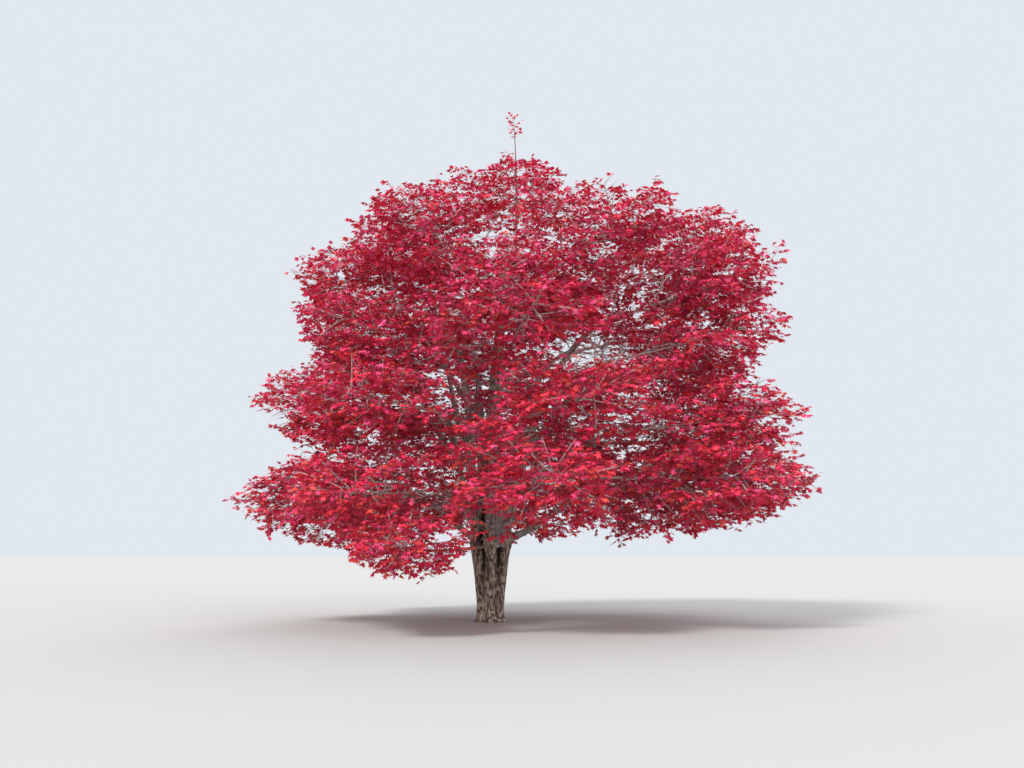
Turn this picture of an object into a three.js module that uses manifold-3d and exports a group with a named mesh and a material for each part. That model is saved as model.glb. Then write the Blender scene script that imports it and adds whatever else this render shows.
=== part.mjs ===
// A red maple in autumn leaf that stands alone in a field. A short trunk of stems grown together forks into
// a leader and five main limbs. These carry side boughs, and low boughs leave the trunk all round. Each
// bough ends at one mass of foliage: a stem with side twigs in opposite pairs, whose pointed blades each
// stand for a spray of leaves. The masses lie in tiers inside a broad crown that reaches further to the
// right than to the left.
import * as THREE from "three";
import { mergeVertices } from "three/addons/utils/BufferGeometryUtils.js";
import Module from "manifold-3d";

const wasm = await Module();
wasm.setup();

// Lengths are in millimetres and angles in degrees. The trunk stands on the origin with +Z up. Azimuth 0 is
// +X, the crown's right side, and azimuth 270 is -Y, the side seen from the front.
const GAP = 0.3; // between a limb or stem and what carries it
const FLATNESS = 0.05; // faces that lie this nearly in one plane are rejoined after a cut
const UP = new THREE.Vector3(0, 0, 1);
const RIGHT = new THREE.Vector3(1, 0, 0);
const radians = THREE.MathUtils.degToRad;

const BARK = { color: 0x6f675f, roughness: 0.95, metalness: 0 };
const LEAF = { color: 0xb4283c, roughness: 0.6, metalness: 0 };

// Trunk and leader: radius at each height, and one lobe for each stem grown into it. The lobes are deepest
// at the fork and fade out along the leader.
const TRUNK = {
  profile: [
    [0, 385], [130, 325], [420, 312], [900, 352], [1450, 402], [2000, 462], [2420, 345],
    [2900, 222], [3800, 190], [5400, 150], [7200, 98], [8900, 48],
  ],
  height: 8900,
  topLean: 600,
  leanPower: 4,
  lobes: 5,
  lobeAzimuth: 270,
  lobeDepth: 0.13,
  footLobeDepth: 0.06,
  forkHeight: 2000,
  forkSpread: 900,
  sides: 20,
  rings: 16,
};

// Tiers of foliage, the main limbs' own first. A tier's masses end at a ring round an axis shifted to the
// right: reach is its half width, height its height on the right, leftRise how much higher it is on the left
// and endDrop how much lower at the front and back. half is a mass's half length, half width and half
// height, and pitch is how steeply it points up and out. A bough starts on the trunk at a height, or on the
// nearest main limb at a share of its length, which stagger raises and lowers by turns. It leaves at the
// angle launch.
const TIERS = [
  {
    name: "upper", count: 5, first: -20, height: 8300, leftRise: -200, endDrop: 500,
    reach: 5950, shift: 1250, half: [2600, 2900, 1350], pitch: 16,
    bough: {
      name: "main_limb", from: "trunk", at: 1800, stagger: 60, out: 250, launch: 74, base: 150, tip: 42,
      sides: 7, steps: 8,
    },
  },
  {
    name: "middle", count: 6, first: -26, height: 6750, leftRise: 200, endDrop: 300,
    reach: 6200, shift: 1150, half: [2600, 2700, 1300], pitch: 10,
    bough: {
      name: "middle_bough", from: "limb", at: 0.42, stagger: 0.08, out: 0, launch: 34, base: 74, tip: 36,
      sides: 5, steps: 5,
    },
  },
  {
    name: "low", count: 7, first: 26, height: 4600, leftRise: 500, endDrop: 0,
    reach: 6600, shift: 1050, half: [2800, 2700, 1450], pitch: 4,
    bough: {
      name: "low_bough", from: "limb", at: 0.2, stagger: 0.06, out: 0, launch: 24, base: 80, tip: 36,
      sides: 5, steps: 5,
    },
  },
  {
    name: "skirt", count: 8, first: 8, height: 3250, leftRise: -450, endDrop: 0,
    reach: 6950, shift: 1050, half: [2900, 2600, 1300], pitch: -2,
    bough: {
      name: "skirt_bough", from: "trunk", at: 1950, stagger: 170, out: 0, launch: 12, base: 92, tip: 36,
      sides: 5, steps: 5,
    },
  },
  {
    name: "high", count: 5, first: 12, height: 9700, leftRise: -100, endDrop: 750,
    reach: 5350, shift: 1350, half: [2500, 2700, 1100], pitch: 20,
    stemFrom: 7000, stemStagger: 130, stemRadius: 44,
  },
];
const FRONT_SQUEEZE = 0.93; // the crown is this much shallower from front to back
const MASS_SHARE = 0.42; // a mass is at most this share of the way from the trunk to its tip in half length
const MASS_POINT = 1.5; // how pointed a mass's outer end is: 2 would leave it round
const MASS_JITTER = { azimuth: 7, height: 130 };
// The mass at the crown's peak, and the one that hangs below the skirt at the front left. Their stems start
// on the trunk at stemFrom, and sprig is how far a stem runs on beyond its mass.
const LONE_MASSES = [
  {
    name: "foliage_top", centre: [550, 0, 9950], azimuth: 0, pitch: 90, half: [1250, 2200, 2800],
    stemFrom: 8850, stemRadius: 40, sprig: 800,
  },
  {
    name: "foliage_hanging", centre: [-1530, -4300, 1850], azimuth: 250, pitch: -4, half: [1700, 1250, 850],
    stemFrom: 1750, stemRadius: 44, sprig: 0,
  },
];

// Foliage: where the stem enters and ends as shares of a mass's half length, where its twigs leave it, how
// far apart and how steeply, and how much of the way to the edge of their space they grow.
const STEM = { entry: 0.6, end: 0.58, blade: 0.8, firstNode: 0.16, nodeSpacing: 430, roll: 20 };
const TWIG = {
  spread: 58, jitter: 12, fill: 0.98, shortest: 120, rootRadius: 24, tipRadius: 16, clearRoot: 80,
};
const BLADE = {
  length: 1200, width: 1120, thick: 0.034, widest: 0.42, sizes: [1, 0.8, 0.62, 0.46], tilts: [25, 65],
};
const SIDE_BLADE = { stalk: 70, radius: 13, from: 420, at: 0.55, spread: 58, flatten: 0.6 };
const STEP = 60; // spacing of the points at which a twig's way is tested
const MARGIN = 0.02; // clearance between the spaces of two masses, as a share of their size

// A seeded random number from 0 to 1, the same on every run.
function seeded(seed) {
  let state = seed >>> 0;
  return () => {
    state = (Math.imul(state, 1664525) + 1013904223) >>> 0;
    return state / 4294967296;
  };
}

const around = (random, spread) => spread * (2 * random() - 1);
const mix = (from, to, share) => from + (to - from) * share;
const evenly = (count) => Array.from({ length: count + 1 }, (_, i) => i / count);

function polar(azimuth, elevation) {
  const level = Math.cos(radians(elevation));
  return new THREE.Vector3(
    Math.cos(radians(azimuth)) * level,
    Math.sin(radians(azimuth)) * level,
    Math.sin(radians(elevation)),
  );
}

const along = (start, direction, distance) => start.clone().addScaledVector(direction, distance);

// A three.js geometry as a solid that can be joined and cut.
function solidOf(geometry) {
  geometry.deleteAttribute("normal");
  geometry.deleteAttribute("uv");
  const merged = mergeVertices(geometry, 1e-3);
  return new wasm.Manifold(
    new wasm.Mesh({
      numProp: 3,
      vertProperties: new Float32Array(merged.attributes.position.array),
      triVerts: new Uint32Array(merged.index.array),
    }),
  );
}

// The outer surface of the solid's largest body, with flat faces rejoined. Scraps that were cut off are
// dropped, and so are inner surfaces, which fills any hollow that the joining sealed.
function oneBody(solid) {
  const largest = solid.decompose().sort((a, b) => b.volume() - a.volume())[0];
  return largest.asOriginal().simplify(FLATNESS);
}

function geometryOf(solid) {
  const { vertProperties, triVerts } = solid.getMesh();
  return new THREE.BufferGeometry()
    .setAttribute("position", new THREE.BufferAttribute(vertProperties, 3))
    .setIndex(new THREE.BufferAttribute(triVerts, 1));
}

// A closed solid along a curve: a cylinder of unit radius and height whose rings are moved to stand across
// the curve at the given shares of its way. radiusAt takes such a share and the angle round the ring. The
// solid can be grown, all round and beyond its tip.
function sweep(curve, radiusAt, sides, shares, grow = 0) {
  const geometry = new THREE.CylinderGeometry(1, 1, 1, sides, shares.length - 1);
  const position = geometry.attributes.position;
  const chord = curve.getPoint(1).sub(curve.getPoint(0));
  const level = new THREE.Vector3().crossVectors(UP, chord);
  const sideways = level.length() > 0.2 * chord.length() ? level.normalize() : RIGHT;
  for (let i = 0; i < position.count; i++) {
    const share = shares[Math.round((position.getY(i) + 0.5) * (shares.length - 1))];
    const tangent = curve.getTangent(share);
    const u = sideways.clone().addScaledVector(tangent, -sideways.dot(tangent)).normalize();
    const w = new THREE.Vector3().crossVectors(u, tangent);
    const radius = radiusAt(share, Math.atan2(-position.getZ(i), position.getX(i))) + grow;
    const point = along(curve.getPoint(share), tangent, share === 1 ? grow : 0);
    point.addScaledVector(u, position.getX(i) * radius).addScaledVector(w, position.getZ(i) * radius);
    position.setXYZ(i, point.x, point.y, point.z);
  }
  return solidOf(geometry);
}

// The limbs and stems placed so far. Each keeps its solid, the same grown by the gap, and its line as points
// with radii, by which foliage keeps clear of it.
function makeLimb(name, curve, radiusAt, sides, shares, cutBy) {
  const whole = sweep(curve, radiusAt, sides, shares);
  const spots = evenly(4 * shares.length).map((share) => ({
    point: curve.getPoint(share),
    radius: radiusAt(share, 0),
  }));
  return {
    name,
    curve,
    spots,
    grown: sweep(curve, radiusAt, sides, shares, GAP),
    solid: oneBody(cutBy.reduce((rest, other) => rest.subtract(other.grown), whole)),
  };
}

// The trunk's line, upright at the ground and leaning a little at the top.
class TrunkLine extends THREE.Curve {
  getPoint(share) {
    return new THREE.Vector3(TRUNK.topLean * share ** TRUNK.leanPower, 0, TRUNK.height * share);
  }
}

const trunkProfile = new THREE.SplineCurve(
  TRUNK.profile.map(([height, radius]) => new THREE.Vector2(height, radius)),
);

function trunkRadius(height, azimuth) {
  const { profile } = TRUNK;
  const next = Math.max(1, profile.findIndex(([level]) => level >= height));
  const [below, above] = [profile[next - 1], profile[next]];
  const share = (height - below[0]) / (above[0] - below[0]);
  const radius = trunkProfile.getPoint((next - 1 + share) / (profile.length - 1)).y;
  const foot = height < TRUNK.forkHeight ? TRUNK.footLobeDepth : 0;
  const fork = Math.exp(-(((height - TRUNK.forkHeight) / TRUNK.forkSpread) ** 2));
  const depth = Math.max(foot, TRUNK.lobeDepth * fork);
  return radius * (1 + depth * Math.cos(TRUNK.lobes * (azimuth - radians(TRUNK.lobeAzimuth))));
}

function makeTrunk() {
  const shares = evenly(TRUNK.rings).map((share) => trunkProfile.getPoint(share).x / TRUNK.height);
  const radiusAt = (share, angle) => trunkRadius(share * TRUNK.height, angle);
  return makeLimb("trunk", new TrunkLine(), radiusAt, TRUNK.sides, shares, []);
}

// The space of one mass: a flattened ellipsoid with a pointed outer end, which points out from the trunk to
// its tip on the crown's outline.
function tierMass(tier, index, random) {
  const turn = tier.first + (index * 360) / tier.count + around(random, MASS_JITTER.azimuth);
  const rise = (tier.leftRise * (1 - Math.cos(radians(turn)))) / 2 + around(random, MASS_JITTER.height);
  const drop = tier.endDrop * Math.sin(radians(turn)) ** 2;
  const tip = polar(turn, 0).multiply(new THREE.Vector3(1, FRONT_SQUEEZE, 1)).multiplyScalar(tier.reach);
  tip.add(new THREE.Vector3(tier.shift, 0, tier.height + rise - drop));
  const azimuth = THREE.MathUtils.radToDeg(Math.atan2(tip.y, tip.x));
  const [longest, width, depth] = tier.half;
  const length = Math.min(longest, MASS_SHARE * Math.hypot(tip.x, tip.y));
  const out = polar(azimuth, tier.pitch);
  return {
    name: `foliage_${tier.name}_${index + 1}`,
    tier,
    index,
    azimuth,
    centre: along(tip, out, -length),
    out,
    side: new THREE.Vector3().crossVectors(UP, out).normalize(),
    half: [length, width, depth],
    stemFrom: tier.bough ? null : tier.stemFrom + index * tier.stemStagger,
    stemRadius: tier.bough ? tier.bough.tip : tier.stemRadius,
    sprig: 0,
  };
}

function loneMass(lone) {
  const { centre, azimuth, pitch } = lone;
  return {
    ...lone,
    centre: new THREE.Vector3(...centre),
    out: polar(azimuth, pitch),
    side: polar(azimuth + 90, 0),
  };
}

// A point's distance from a mass's centre, where 1 is the edge of its space.
function scaledDistance(mass, point) {
  const offset = point.clone().sub(mass.centre);
  const upward = new THREE.Vector3().crossVectors(mass.out, mass.side);
  const [length, width, depth] = mass.half;
  const outward = offset.dot(mass.out) / length;
  const across = Math.hypot(offset.dot(mass.side) / width, offset.dot(upward) / depth);
  const power = outward > 0 ? MASS_POINT : 2;
  return (Math.abs(outward) ** power + across ** power) ** (1 / power);
}

// True if a point is inside the mass's space, and further inside than in any other mass's.
function inOwnSpace(mass, point) {
  const own = scaledDistance(mass, point);
  return own < 1 && masses.every((other) => other === mass || scaledDistance(other, point) > own + MARGIN);
}

// True if a point is at least this far from the surface of each limb or stem.
function clearOf(obstacles, point, room) {
  const nearest = new THREE.Vector3();
  return obstacles.every(({ spots }) =>
    spots.slice(1).every((spot, i) => {
      new THREE.Line3(spots[i].point, spot.point).closestPointToPoint(point, true, nearest);
      return nearest.distanceTo(point) > spots[i].radius + room;
    }),
  );
}

// Where a bough starts: inside the trunk at a height, or inside the nearest main limb at a share of its
// length.
function boughStart(bough, mass, trunk, mainLimbs) {
  const at = bough.at + (mass.index % 2 ? bough.stagger : -bough.stagger);
  if (bough.from === "trunk") {
    return along(trunk.curve.getPoint(at / TRUNK.height), polar(mass.azimuth, 0), bough.out);
  }
  const facing = (limb) => Math.cos(radians(limb.azimuth - mass.azimuth));
  const nearest = mainLimbs.reduce((best, limb) => (facing(limb) > facing(best) ? limb : best));
  return nearest.curve.getPoint(at);
}

// One bough, from inside what carries it to where the stem of its mass enters the foliage.
function makeBough(mass, trunk, mainLimbs, cutBy) {
  const { bough } = mass.tier;
  const start = boughStart(bough, mass, trunk, mainLimbs);
  const end = along(mass.centre, mass.out, -STEM.entry * mass.half[0]);
  const bearing = THREE.MathUtils.radToDeg(Math.atan2(end.y - start.y, end.x - start.x));
  const span = end.distanceTo(start);
  const leave = along(start, polar(bearing, bough.launch), span * 0.4);
  const curve = new THREE.CubicBezierCurve3(start, leave, along(end, mass.out, -span * 0.3), end);
  const collar = (share) => 1 + 0.3 * Math.exp((-share * span) / (2 * bough.base));
  const radiusAt = (share) => mix(bough.tip, bough.base, (1 - share) ** 1.15) * collar(share);
  const name = `${bough.name}_${mass.index + 1}`;
  const limb = makeLimb(name, curve, radiusAt, bough.sides, evenly(bough.steps), cutBy);
  return { ...limb, azimuth: mass.azimuth, mass };
}

// The stem of a mass: on from its bough's tip, or from inside the trunk or leader. It ends in a blade.
function makeStem(mass, index, boughs, trunk) {
  const bough = boughs.find((limb) => limb.mass === mass);
  const root = bough ? bough.curve.getPoint(1) : trunk.curve.getPoint(mass.stemFrom / TRUNK.height);
  const radius = mass.stemRadius;
  const end = along(mass.centre, mass.out, STEM.end * mass.half[0] + mass.sprig);
  const heading = end.clone().sub(root).normalize();
  const start = along(root, heading, GAP);
  const random = seeded(101 + 37 * index);
  const length = end.distanceTo(start);
  const normal = sideways(heading, 90, STEM.roll + 45, 1);
  const whole = shoot(start, heading, normal, radius, length, STEM.blade);
  const spots = [0, 1].map((share) => ({ point: along(start, heading, length * share), radius }));
  const solid = bough ? whole : oneBody(whole.subtract(trunk.grown));
  return { name: mass.name, mass, random, start, heading, length, radius, spots, solid };
}

// A blade's normal, across its heading and tilted from upright by a seeded angle.
function bladeNormal(heading, random) {
  const lean = polar(360 * random(), 90 - mix(...BLADE.tilts, random()));
  const across = new THREE.Vector3().crossVectors(lean, heading).normalize();
  return new THREE.Vector3().crossVectors(heading, across);
}

// The corners of a blade at the end of a stalk: across its widest place, its tip and its middle.
function bladeCorners(start, heading, normal, stalk, size) {
  const across = new THREE.Vector3().crossVectors(heading, normal);
  const middle = along(start, heading, stalk + BLADE.widest * BLADE.length * size);
  const tip = along(start, heading, stalk + BLADE.length * size);
  const half = (BLADE.width * size) / 2;
  return [along(middle, across, half), along(middle, across, -half), tip, middle];
}

// A shoot: a four-sided stalk that widens into a flat pointed blade. It is a cone of unit radius whose rings
// are moved to the root, the stalk's end and the blade's widest place, and whose point is the blade's tip.
function shoot(start, heading, normal, rootRadius, stalk, size) {
  const across = new THREE.Vector3().crossVectors(heading, normal);
  const length = BLADE.length * size;
  const rings = [
    [0, rootRadius, rootRadius],
    [stalk, TWIG.tipRadius, TWIG.tipRadius],
    [stalk + BLADE.widest * length, (BLADE.width * size) / 2, (BLADE.thick * length) / 2],
    [stalk + length, 0, 0],
  ];
  const geometry = new THREE.ConeGeometry(1, 1, 4, rings.length - 1);
  const position = geometry.attributes.position;
  for (let i = 0; i < position.count; i++) {
    const ring = Math.round((position.getY(i) + 0.5) * (rings.length - 1));
    const [distance, halfWidth, halfThick] = rings[ring];
    const point = along(start, heading, distance);
    point.addScaledVector(across, Math.sign(Math.round(position.getX(i) * 100)) * halfWidth);
    point.addScaledVector(normal, Math.sign(Math.round(position.getZ(i) * 100)) * halfThick);
    position.setXYZ(i, point.x, point.y, point.z);
  }
  return solidOf(geometry);
}

// The way a side twig leaves its parent: at an angle, turned round it by roll, and laid flatter.
function sideways(parent, spread, roll, flatten) {
  const level = new THREE.Vector3().crossVectors(UP, parent);
  const u = level.length() > 0.1 ? level.normalize() : RIGHT.clone();
  const v = new THREE.Vector3().crossVectors(parent, u);
  const out = parent.clone().multiplyScalar(Math.cos(radians(spread)));
  out.addScaledVector(u, Math.cos(radians(roll)) * Math.sin(radians(spread)));
  out.addScaledVector(v, Math.sin(radians(roll)) * Math.sin(radians(spread)));
  out.z *= flatten;
  return out.normalize();
}

// True if a blade at the end of a stalk is in its own space. free takes a point and the room it needs.
function bladeFits(start, heading, normal, stalk, size, free) {
  const corners = bladeCorners(start, heading, normal, stalk, size);
  const tests = corners.flatMap((corner) => [corner, corner.clone().lerp(corners[3], 0.5)]);
  return tests.every((point) => free(point, 0.13 * BLADE.length * size));
}

// The room a twig has to grow in a direction.
function reachInSpace(root, heading, free) {
  let reach = 0;
  while (free(along(root, heading, reach + STEP + TWIG.clearRoot), 2 * TWIG.tipRadius)) reach += STEP;
  return reach;
}

// A shoot that fits: its blade is as large as its place allows, and it crosses no other piece outside its
// parent.
function fittingShoot(place, heading, rootRadius, stalks, random, free, parent, others) {
  const normal = bladeNormal(heading, random);
  for (const [stalk, size] of stalks) {
    if (!bladeFits(place, heading, normal, stalk, size, free)) continue;
    const solid = shoot(place, heading, normal, rootRadius, stalk, size);
    const outside = solid.subtract(parent);
    if (others.every((other) => other.intersect(outside).isEmpty())) {
      return [{ solid, place, heading, stalk }];
    }
  }
  return [];
}

// One mass of foliage: its stem, with side twigs in opposite pairs, each pair turned a quarter round from
// the last. Each twig ends in a blade, and a long one has a pair of side blades.
function makeFoliage(stem, obstacles) {
  const { mass, random } = stem;
  const free = (point, room) => inOwnSpace(mass, point) && clearOf(obstacles, point, room);
  const pieces = [];
  const grow = (...shootArguments) => {
    const shoots = fittingShoot(...shootArguments, pieces);
    pieces.push(...shoots.map(({ solid }) => solid));
    return shoots;
  };
  const nodes = Math.round((stem.length * (1 - STEM.firstNode)) / STEM.nodeSpacing);
  const twigs = Array.from({ length: 2 * nodes }, (_, i) => {
    const share = mix(STEM.firstNode, 1, (Math.floor(i / 2) + 0.3) / nodes);
    const place = along(stem.start, stem.heading, stem.length * share);
    const roll = 90 * (Math.floor(i / 2) % 2) + 180 * (i % 2) + STEM.roll + around(random, TWIG.jitter);
    const heading = sideways(stem.heading, TWIG.spread + around(random, TWIG.jitter), roll, 1);
    const reach = TWIG.fill * reachInSpace(place, heading, free);
    const stalks = BLADE.sizes.map((size) => [reach - BLADE.length * size, size]);
    const longEnough = stalks.filter(([stalk]) => stalk > TWIG.shortest);
    return grow(place, heading, TWIG.rootRadius, longEnough, random, free, stem.solid);
  }).flat();
  for (const twig of twigs.filter(({ stalk }) => stalk > SIDE_BLADE.from)) {
    for (const turn of [0, 180]) {
      const roll = turn + around(random, TWIG.jitter);
      const heading = sideways(twig.heading, SIDE_BLADE.spread, roll, SIDE_BLADE.flatten);
      const place = along(twig.place, twig.heading, SIDE_BLADE.at * twig.stalk);
      const stalks = BLADE.sizes.map((size) => [SIDE_BLADE.stalk, size]);
      grow(place, heading, SIDE_BLADE.radius, stalks, random, free, twig.solid);
    }
  }
  return oneBody(wasm.Manifold.union([stem.solid, ...pieces]));
}

// Every mass's space is settled first, because each keeps clear of its neighbours.
const masses = TIERS.flatMap((tier, t) => {
  const random = seeded(11 + t);
  return Array.from({ length: tier.count }, (_, i) => tierMass(tier, i, random));
});
masses.push(...LONE_MASSES.map(loneMass));

const trunk = makeTrunk();
const boughs = [];
for (const mass of masses.filter(({ tier }) => tier?.bough)) {
  const mainLimbs = boughs.filter(({ name }) => name.startsWith(TIERS[0].bough.name));
  boughs.push(makeBough(mass, trunk, mainLimbs, [trunk, ...boughs]));
}
const limbs = [trunk, ...boughs];
const stems = masses.map((mass, i) => makeStem(mass, i, boughs, trunk));

const tree = new THREE.Group();

function addMesh(name, solid, finish) {
  const mesh = new THREE.Mesh(geometryOf(solid), new THREE.MeshStandardMaterial(finish));
  mesh.name = name;
  tree.add(mesh);
}

for (const limb of limbs) addMesh(limb.name, limb.solid, BARK);
for (const stem of stems) {
  addMesh(stem.name, makeFoliage(stem, [...limbs, ...stems.filter((other) => other !== stem)]), LEAF);
}

export default tree;
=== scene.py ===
import math

import bpy
import numpy as np
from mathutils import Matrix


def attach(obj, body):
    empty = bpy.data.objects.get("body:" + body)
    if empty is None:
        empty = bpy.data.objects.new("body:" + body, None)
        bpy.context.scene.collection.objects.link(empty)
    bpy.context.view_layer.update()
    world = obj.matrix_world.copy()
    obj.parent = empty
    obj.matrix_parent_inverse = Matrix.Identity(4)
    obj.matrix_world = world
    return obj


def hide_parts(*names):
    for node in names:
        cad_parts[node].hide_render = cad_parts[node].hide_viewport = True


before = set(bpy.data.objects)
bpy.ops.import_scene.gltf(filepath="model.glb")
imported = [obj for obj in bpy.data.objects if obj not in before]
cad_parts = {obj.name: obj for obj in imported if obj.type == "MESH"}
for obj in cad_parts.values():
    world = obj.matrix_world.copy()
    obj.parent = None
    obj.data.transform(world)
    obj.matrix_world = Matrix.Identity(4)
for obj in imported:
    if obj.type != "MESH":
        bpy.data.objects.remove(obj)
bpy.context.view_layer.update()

# Lengths are in metres and angles in degrees. The trunk stands on the origin with +Z up. Azimuth 0 is +X, the
# crown's right side, and azimuth 270 is -Y, the side seen from the front.
UP = np.array([0.0, 0.0, 1.0])
RIGHT = np.array([1.0, 0.0, 0.0])

# The sizes that the solids are made from.
TRUNK = {
    "profile": [
        (0, 0.385), (0.13, 0.325), (0.42, 0.312), (0.9, 0.352), (1.45, 0.402), (2, 0.462), (2.42, 0.345),
        (2.9, 0.222), (3.8, 0.19), (5.4, 0.15), (7.2, 0.098), (8.9, 0.048),
    ],
    "height": 8.9, "top_lean": 0.6, "lean_power": 4, "lobes": 5, "lobe_azimuth": 270, "lobe_depth": 0.13,
    "foot_lobe_depth": 0.06, "fork_height": 2.0, "fork_spread": 0.9,
}
TIERS = [
    {
        "name": "upper", "count": 5, "first": -20, "height": 8.3, "left_rise": -0.2, "end_drop": 0.5,
        "reach": 5.95, "shift": 1.25, "half": (2.6, 2.9, 1.35), "pitch": 16,
        "bough": {"from": "trunk", "at": 1.8, "stagger": 0.06, "out": 0.25, "launch": 74, "base": 0.15,
                  "tip": 0.042},
    },
    {
        "name": "middle", "count": 6, "first": -26, "height": 6.75, "left_rise": 0.2, "end_drop": 0.3,
        "reach": 6.2, "shift": 1.15, "half": (2.6, 2.7, 1.3), "pitch": 10,
        "bough": {"from": "limb", "at": 0.42, "stagger": 0.08, "out": 0, "launch": 34, "base": 0.074,
                  "tip": 0.036},
    },
    {
        "name": "low", "count": 7, "first": 26, "height": 4.6, "left_rise": 0.5, "end_drop": 0,
        "reach": 6.6, "shift": 1.05, "half": (2.8, 2.7, 1.45), "pitch": 4,
        "bough": {"from": "limb", "at": 0.2, "stagger": 0.06, "out": 0, "launch": 24, "base": 0.08,
                  "tip": 0.036},
    },
    {
        "name": "skirt", "count": 8, "first": 8, "height": 3.25, "left_rise": -0.45, "end_drop": 0,
        "reach": 6.95, "shift": 1.05, "half": (2.9, 2.6, 1.3), "pitch": -2,
        "bough": {"from": "trunk", "at": 1.95, "stagger": 0.17, "out": 0, "launch": 12, "base": 0.092,
                  "tip": 0.036},
    },
    {
        "name": "high", "count": 5, "first": 12, "height": 9.7, "left_rise": -0.1, "end_drop": 0.75,
        "reach": 5.35, "shift": 1.35, "half": (2.5, 2.7, 1.1), "pitch": 20,
        "stem_from": 7.0, "stem_stagger": 0.13, "stem_radius": 0.044,
    },
]
FRONT_SQUEEZE = 0.93
MASS_SHARE = 0.42
MASS_POINT = 1.5
AZIMUTH_JITTER = 7
HEIGHT_JITTER = 0.13
LONE_MASSES = [
    {
        "node": "foliage_top", "centre": (0.55, 0, 9.95), "azimuth": 0, "pitch": 90, "half": (1.25, 2.2, 2.8),
        "stem_from": 8.85, "stem_radius": 0.04, "sprig": 0.8,
    },
    {
        "node": "foliage_hanging", "centre": (-1.53, -4.3, 1.85), "azimuth": 250, "pitch": -4,
        "half": (1.7, 1.25, 0.85), "stem_from": 1.75, "stem_radius": 0.044, "sprig": 0,
    },
]
STEM = {"entry": 0.6, "end": 0.58, "first_node": 0.16, "node_spacing": 0.43, "roll": 20, "spray": 0.96}
TWIG = {"spread": 58, "jitter": 12, "fill": 0.98, "tip": 0.016, "clear_root": 0.08}
# A bough's curve: how far it keeps its first and its last heading, as shares of its span, its taper, and how
# much its collar widens it.
BOUGH = {"leave": 0.4, "arrive": 0.3, "taper": 1.15, "collar": 0.3}
# How finely a twig's way is tested, and how much nearer to its own mass's centre it stays than to another's.
STEP = 0.06
MARGIN = 0.02

# The camera stands where the photo's did: about 25 m away, at eye height.
CAMERA = {"place": (0.5, -25, 1.6), "pitch": 9.1, "lens": 36.91}


def seeded(seed):
    """A seeded random number from 0 to 1, the same as the solids use."""
    state = seed

    def draw():
        nonlocal state
        state = (state * 1664525 + 1013904223) % 4294967296
        return state / 4294967296

    return draw


def around(random, spread):
    return spread * (2 * random() - 1)


def mix(start, end, share):
    return start + (end - start) * share


def unit(vector):
    vector = np.asarray(vector, dtype=float)
    return vector / np.linalg.norm(vector, axis=-1, keepdims=True)


def polar(azimuth, elevation):
    azimuth, elevation = math.radians(azimuth), math.radians(elevation)
    level = math.cos(elevation)
    return np.array([math.cos(azimuth) * level, math.sin(azimuth) * level, math.sin(elevation)])


def sideways(parent, spread, roll, flatten):
    """The ways in which twigs leave their parents: at an angle, turned round by roll, and laid flatter."""
    spread, roll = np.radians(spread)[..., None], np.radians(roll)[..., None]
    level = np.cross(UP, parent)
    steep = np.linalg.norm(level, axis=-1, keepdims=True) <= 0.1
    u = unit(np.where(steep, RIGHT, level))
    v = np.cross(parent, u)
    out = parent * np.cos(spread) + (u * np.cos(roll) + v * np.sin(roll)) * np.sin(spread)
    out = out * np.array([1, 1, flatten])
    return unit(out)


# The limbs' lines and the masses' spaces.


def trunk_point(share):
    share = np.asarray(share, dtype=float)
    lean = TRUNK["top_lean"] * share ** TRUNK["lean_power"]
    return np.stack([lean, 0 * share, TRUNK["height"] * share], axis=-1)


def trunk_radius(height, azimuth):
    """The trunk's radius by height and azimuth in radians: a smooth curve through the profile, lobed."""
    levels, radii = np.array(TRUNK["profile"]).T
    last = len(levels) - 1
    below = np.clip(np.searchsorted(levels, height) - 1, 0, last - 1)
    share = (height - levels[below]) / (levels[below + 1] - levels[below])
    before, start = radii[np.maximum(below - 1, 0)], radii[below]
    end, after = radii[below + 1], radii[np.minimum(below + 2, last)]
    slope_in, slope_out = (end - before) / 2, (after - start) / 2
    radius = start + slope_in * share + (3 * (end - start) - 2 * slope_in - slope_out) * share**2
    radius = radius + (2 * (start - end) + slope_in + slope_out) * share**3
    foot = np.where(height < TRUNK["fork_height"], TRUNK["foot_lobe_depth"], 0)
    fork = np.exp(-(((height - TRUNK["fork_height"]) / TRUNK["fork_spread"]) ** 2))
    depth = np.maximum(foot, TRUNK["lobe_depth"] * fork)
    from_lobe = azimuth - math.radians(TRUNK["lobe_azimuth"])
    return radius * (1 + depth * np.cos(TRUNK["lobes"] * from_lobe))


def bezier(points, share):
    share = np.asarray(share, dtype=float)[..., None]
    a, b, c, d = points
    rest = 1 - share
    return a * rest**3 + 3 * b * rest**2 * share + 3 * c * rest * share**2 + d * share**3


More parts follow.
